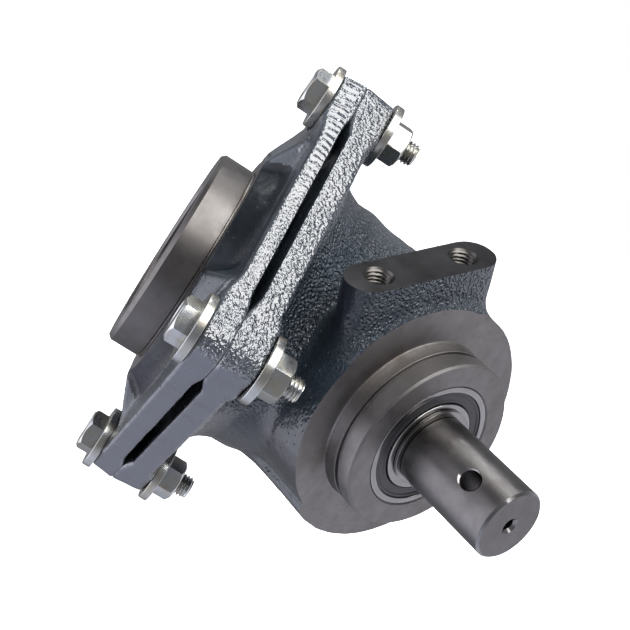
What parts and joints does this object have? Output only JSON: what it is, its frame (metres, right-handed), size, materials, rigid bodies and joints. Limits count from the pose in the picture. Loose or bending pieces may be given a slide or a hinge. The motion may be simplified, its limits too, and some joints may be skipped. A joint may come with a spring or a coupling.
{
  "type": "bevel gearbox",
  "caption": "Angled bevel gearbox: a solid output shaft with a cross hole, a bolted two-piece casting, an input spigot with a keyed bore, and a threaded pad.",
  "frame": {"origin": "centre of the machined nose face, on the output shaft axis, where the nose register starts", "axes": "+X out along the output shaft, +Z square to the plane of the output and input axes on the side of the threaded pad, +Y completes the frame; the input axis runs out 130 degrees from +X, toward -X and -Y"},
  "size_m": [0.2298, 0.1669, 0.197],
  "materials": {
    "casting": "rough casting, dark blue-grey paint, machined faces bare",
    "machined_steel": "ground",
    "bearing_steel": "polished",
    "zinc": "zinc plated",
    "rubber": "smooth",
    "brass": "satin"
  },
  "bodies": {
    "housing": {"main_housing": "casting", "input_housing": "casting", "flange_bolts": "zinc", "head_washers": "zinc", "nut_washers": "zinc", "flange_nuts": "zinc", "register_o_ring": "rubber", "front_bearing_outer_ring": "bearing_steel", "front_bearing_seals": "rubber", "rear_bearing_outer_ring": "bearing_steel", "outer_input_bearing_outer_ring": "bearing_steel", "inner_input_bearing_outer_ring": "bearing_steel", "input_bore_circlip": "bearing_steel", "input_seal": "rubber"},
    "output": {"output_shaft": "machined_steel", "output_gear": "machined_steel", "output_gear_key": "machined_steel", "output_spacer": "machined_steel", "output_outer_circlip": "bearing_steel", "output_inner_circlip": "bearing_steel", "front_bearing_inner_ring": "bearing_steel", "rear_bearing_inner_ring": "bearing_steel"},
    "input": {"input_shaft": "machined_steel", "input_gear": "machined_steel", "input_gear_key": "machined_steel", "input_spacer": "machined_steel", "input_shaft_circlip": "bearing_steel", "input_inner_circlip": "bearing_steel", "outer_input_bearing_inner_ring": "bearing_steel", "inner_input_bearing_inner_ring": "bearing_steel"},
    "front_ball_set": {"front_bearing_balls": "bearing_steel", "front_bearing_cage": "brass"},
    "rear_ball_set": {"rear_bearing_balls": "bearing_steel", "rear_bearing_cage": "brass"},
    "outer_input_ball_set": {"outer_input_bearing_balls": "bearing_steel", "outer_input_bearing_cage": "brass"},
    "inner_input_ball_set": {"inner_input_bearing_balls": "bearing_steel", "inner_input_bearing_cage": "brass"}
  },
  "joints": [
    {"name": "output_spin", "type": "hinge", "parent": "housing", "child": "output", "pos_m": [-0.052, 0, 0], "axis": [1, 0, 0], "continuous": true},
    {"name": "input_spin", "type": "hinge", "parent": "housing", "child": "input", "pos_m": [-0.052, 0, 0], "axis": [-0.6428, -0.766, 0], "continuous": true},
    {"name": "front_ball_roll", "type": "hinge", "parent": "housing", "child": "front_ball_set", "pos_m": [-0.052, 0, 0], "axis": [1, 0, 0], "continuous": true},
    {"name": "rear_ball_roll", "type": "hinge", "parent": "housing", "child": "rear_ball_set", "pos_m": [-0.052, 0, 0], "axis": [1, 0, 0], "continuous": true},
    {"name": "outer_input_ball_roll", "type": "hinge", "parent": "housing", "child": "outer_input_ball_set", "pos_m": [-0.052, 0, 0], "axis": [-0.6428, -0.766, 0], "continuous": true},
    {"name": "inner_input_ball_roll", "type": "hinge", "parent": "housing", "child": "inner_input_ball_set", "pos_m": [-0.052, 0, 0], "axis": [-0.6428, -0.766, 0], "continuous": true}
  ],
  "couplings": [
    {"joint": "input_spin", "follows": "output_spin", "ratio": -1},
    {"joint": "front_ball_roll", "follows": "output_spin", "ratio": 0.416},
    {"joint": "rear_ball_roll", "follows": "output_spin", "ratio": 0.39652},
    {"joint": "outer_input_ball_roll", "follows": "output_spin", "ratio": -0.41814},
    {"joint": "inner_input_ball_roll", "follows": "output_spin", "ratio": -0.41814}
  ]
}
